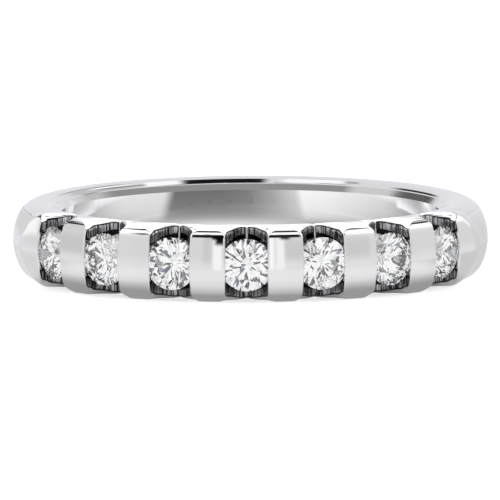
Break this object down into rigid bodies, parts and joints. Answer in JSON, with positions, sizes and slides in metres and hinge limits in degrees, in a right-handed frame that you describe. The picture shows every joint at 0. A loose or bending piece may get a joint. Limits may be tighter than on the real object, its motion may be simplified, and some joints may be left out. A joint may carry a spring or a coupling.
{
  "type": "half eternity ring",
  "caption": "Polished white metal finger ring with round brilliants set across the front, each in an arched valley between wide smooth bars.",
  "frame": {"origin": "centre of the finger bore, midway between the two side faces", "axes": "+Z along the bore, up when the ring lies on its side; the middle stone faces -Y"},
  "size_m": [0.0212, 0.0212, 0.0034],
  "materials": {
    "white_metal": "mirror polished",
    "diamond": "faceted and clear"
  },
  "bodies": {
    "root": {"band": "white_metal", "stone_1": "diamond", "stone_2": "diamond", "stone_3": "diamond", "stone_4": "diamond", "stone_5": "diamond", "stone_6": "diamond", "stone_7": "diamond"}
  },
  "joints": []
}
